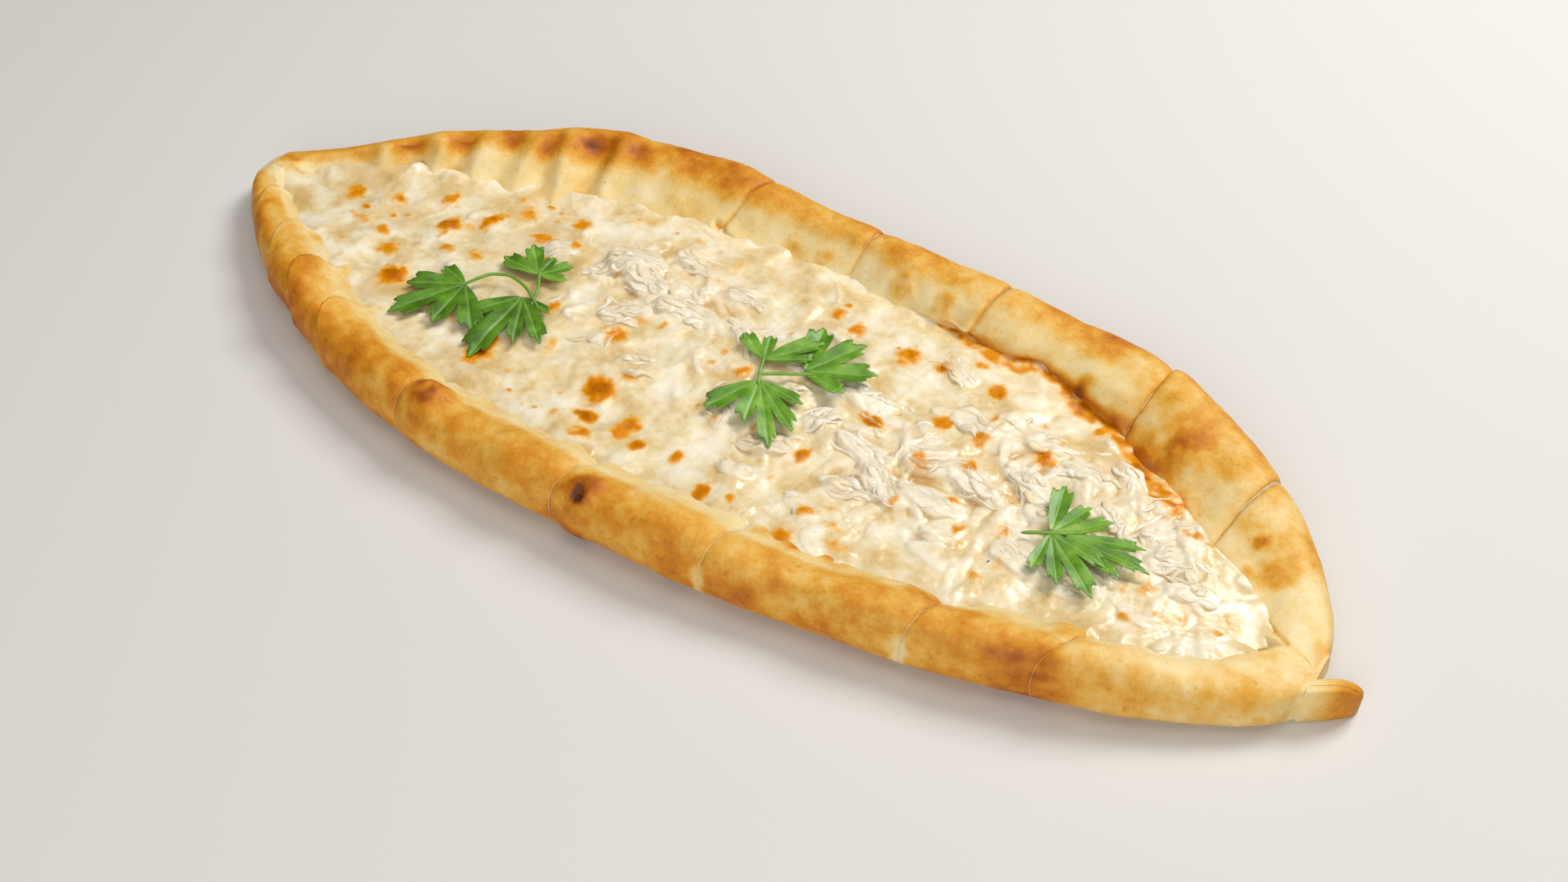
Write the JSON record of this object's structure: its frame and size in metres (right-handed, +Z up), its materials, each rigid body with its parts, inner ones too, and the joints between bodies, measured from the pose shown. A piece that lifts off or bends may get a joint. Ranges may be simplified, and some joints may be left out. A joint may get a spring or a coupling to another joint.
{
  "type": "turkish pide",
  "caption": "Boat-shaped baked flatbread with a rolled rim, cut across into slices, filled with melted cheese and shredded chicken and topped with parsley sprigs.",
  "frame": {"origin": "centre of the footprint on the surface that the base lies on", "axes": "+X along the boat from the blunt end to the tail, +Y across it, +Z up"},
  "size_m": [0.4042, 0.1586, 0.0223],
  "materials": {
    "dough": "golden baked dough, satin",
    "filling": "melted cheese and chicken, soft gloss",
    "parsley": "fresh leaf, satin"
  },
  "bodies": {
    "root": {"crust_slice_1": "dough", "crust_slice_2": "dough", "crust_slice_3": "dough", "crust_slice_4": "dough", "crust_slice_5": "dough", "crust_slice_6": "dough", "filling_slice_1": "filling", "filling_slice_2": "filling", "filling_slice_3": "filling", "filling_slice_4": "filling", "filling_slice_5": "filling", "filling_slice_6": "filling", "parsley_sprig_1": "parsley", "parsley_sprig_2": "parsley", "parsley_sprig_3": "parsley"}
  },
  "joints": []
}
